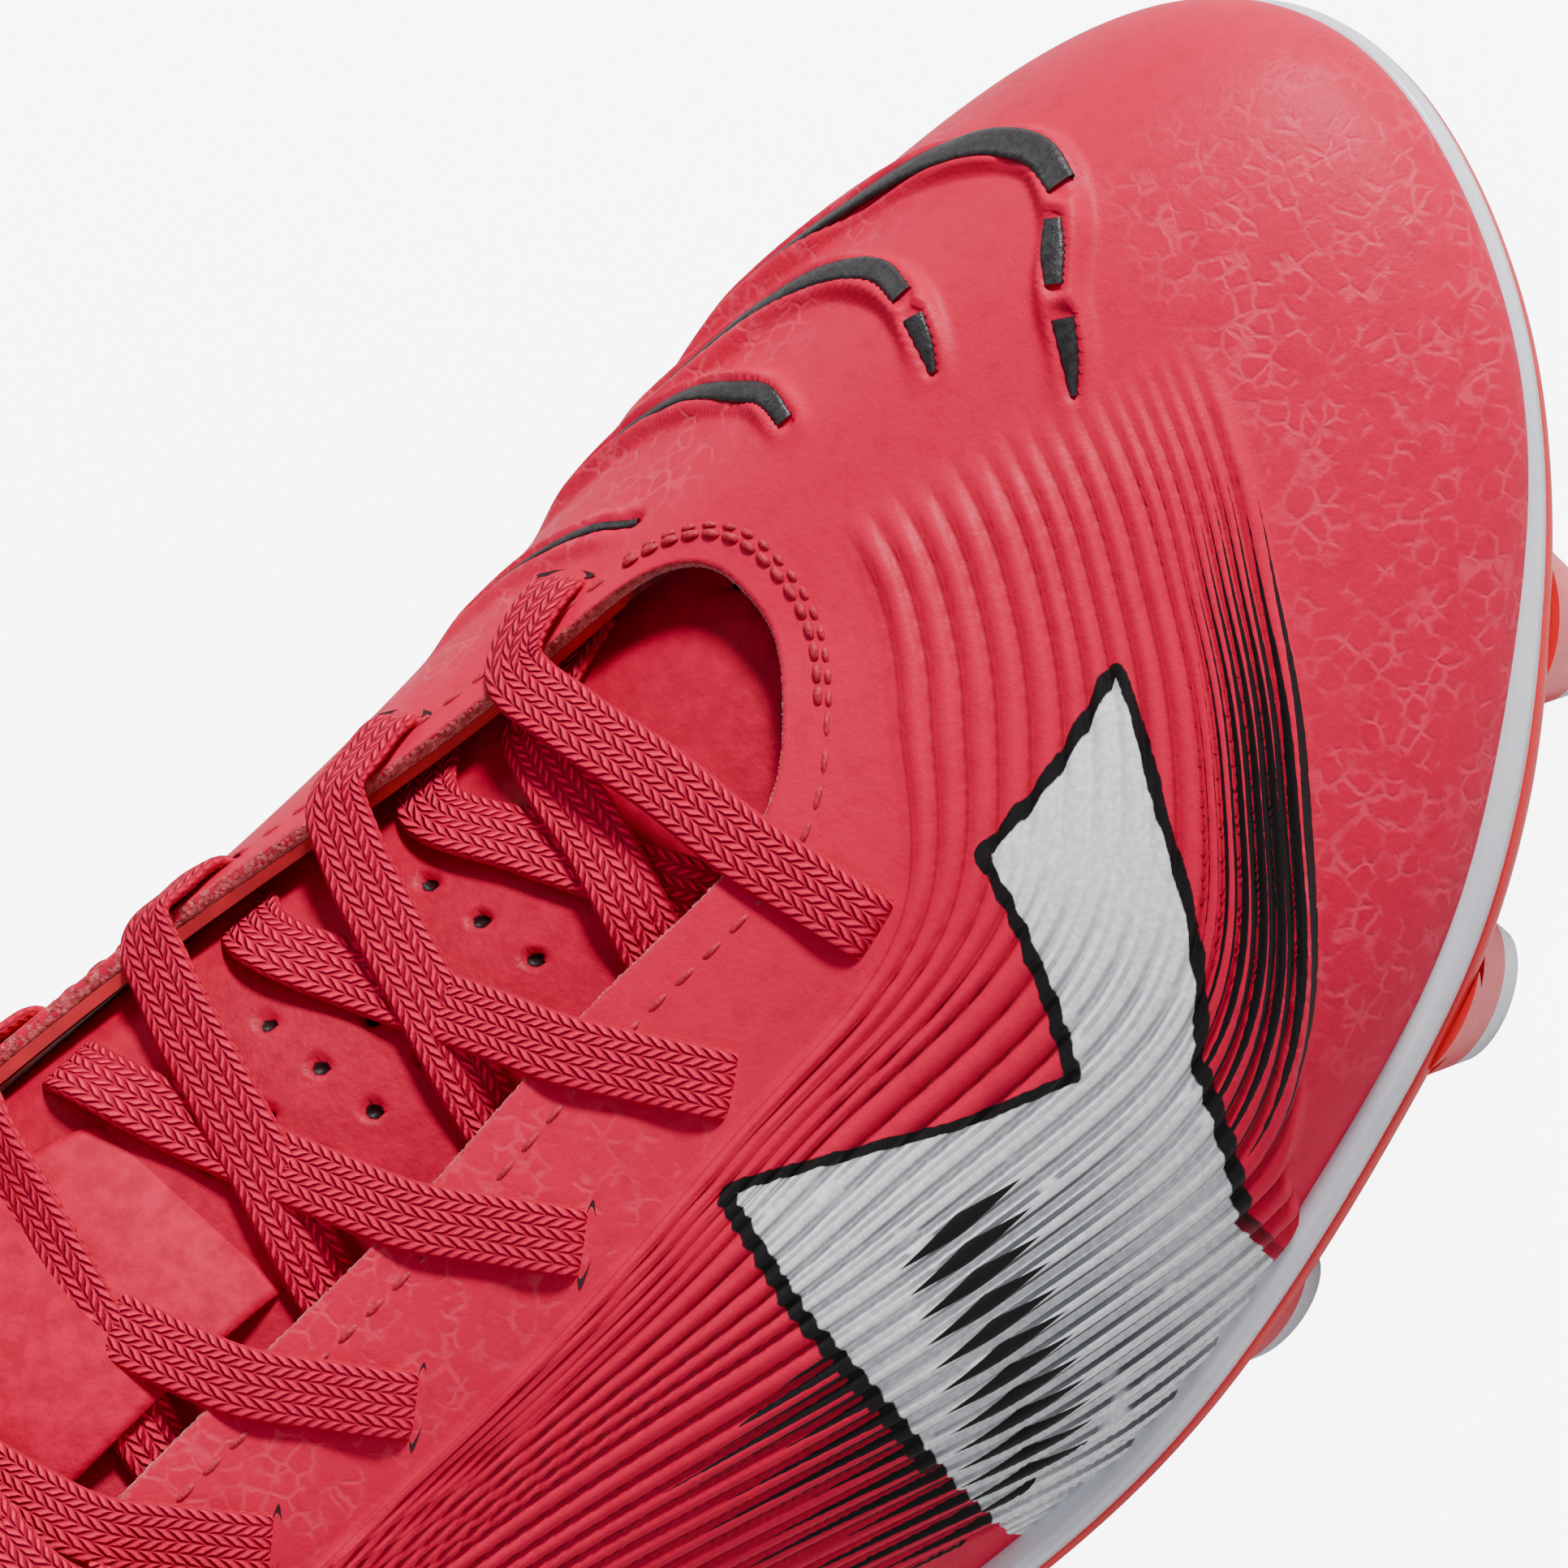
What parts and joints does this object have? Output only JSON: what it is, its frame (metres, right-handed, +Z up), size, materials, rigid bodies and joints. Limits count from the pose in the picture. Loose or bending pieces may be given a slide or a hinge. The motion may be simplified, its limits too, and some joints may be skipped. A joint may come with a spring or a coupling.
{
  "type": "soccer cleat",
  "caption": "Right low-cut football boot for firm ground: laced one-piece ribbed upper, padded tongue, removable footbed and a studded two-shot sole.",
  "frame": {"origin": "on the ground, below the middle of the boot's box", "axes": "+X to the toe, +Y to the inner (medial) side, +Z up"},
  "size_m": [0.2844, 0.1038, 0.1154],
  "materials": {
    "upper_skin": "satin coated synthetic with moulded ribs",
    "stiffener": "matt",
    "foam": "open-cell padding",
    "lining_fabric": "matt knit",
    "tongue_skin": "smooth, perforated",
    "plate_red": "gloss",
    "plate_white": "gloss",
    "board": "matt",
    "fin_rubber": "matt",
    "aglet_plastic": "gloss",
    "lace_weave": "flat braid"
  },
  "bodies": {
    "shoe": {"aglet_lateral": "aglet_plastic", "aglet_medial": "aglet_plastic", "arch_spine": "plate_white", "bow_loop_lateral": "lace_weave", "bow_loop_medial": "lace_weave", "collar_foam": "foam", "eyestay_backer_lateral": "stiffener", "eyestay_backer_medial": "stiffener", "heel_counter": "stiffener", "heel_lining": "lining_fabric", "heel_panel": "upper_skin", "insole_board": "board", "lace_bar": "lace_weave", "lace_end_lateral": "lace_weave", "lace_end_medial": "lace_weave", "lace_high_1": "lace_weave", "lace_high_2": "lace_weave", "lace_high_3": "lace_weave", "lace_high_4": "lace_weave", "lace_high_5": "lace_weave", "lace_keeper": "tongue_skin", "lace_knot": "lace_weave", "lace_low_1": "lace_weave", "lace_low_2": "lace_weave", "lace_low_3": "lace_weave", "lace_low_4": "lace_weave", "lace_low_5": "lace_weave", "lace_tail_lateral": "lace_weave", "lace_tail_medial": "lace_weave", "outsole_plate": "plate_red", "sole_rim": "plate_white", "strike_fins": "fin_rubber", "stud_heel_inner_1": "plate_red", "stud_heel_inner_2": "plate_red", "stud_heel_outer_1": "plate_red", "stud_heel_outer_2": "plate_red", "stud_inner_1": "plate_red", "stud_inner_2": "plate_red", "stud_inner_3": "plate_red", "stud_middle_1": "plate_red", "stud_middle_2": "plate_red", "stud_outer_1": "plate_red", "stud_outer_2": "plate_red", "stud_outer_3": "plate_red", "stud_tips_front": "plate_white", "stud_tips_heel": "plate_white", "toe_puff": "stiffener", "tongue_face": "tongue_skin", "tongue_foam": "foam", "tongue_lining": "lining_fabric", "upper_shell": "upper_skin", "vamp_lining": "lining_fabric"},
    "sockliner": {"sockliner_foam": "foam", "sockliner_cover": "lining_fabric"},
    "tongue_tab": {"tongue_tab": "lining_fabric"}
  },
  "joints": [
    {"name": "sockliner_lift", "type": "hinge", "parent": "shoe", "child": "sockliner", "pos_m": [0.1345, 0.003, 0.0245], "axis": [0, 1, 0], "range_deg": [0, 1.2]},
    {"name": "tongue_tab_fold", "type": "hinge", "parent": "shoe", "child": "tongue_tab", "pos_m": [-0.03895, 0.008, 0.09471], "axis": [0, 1, 0], "range_deg": [-2.5, 25], "stiffness_Nm_per_rad": 0.05}
  ]
}
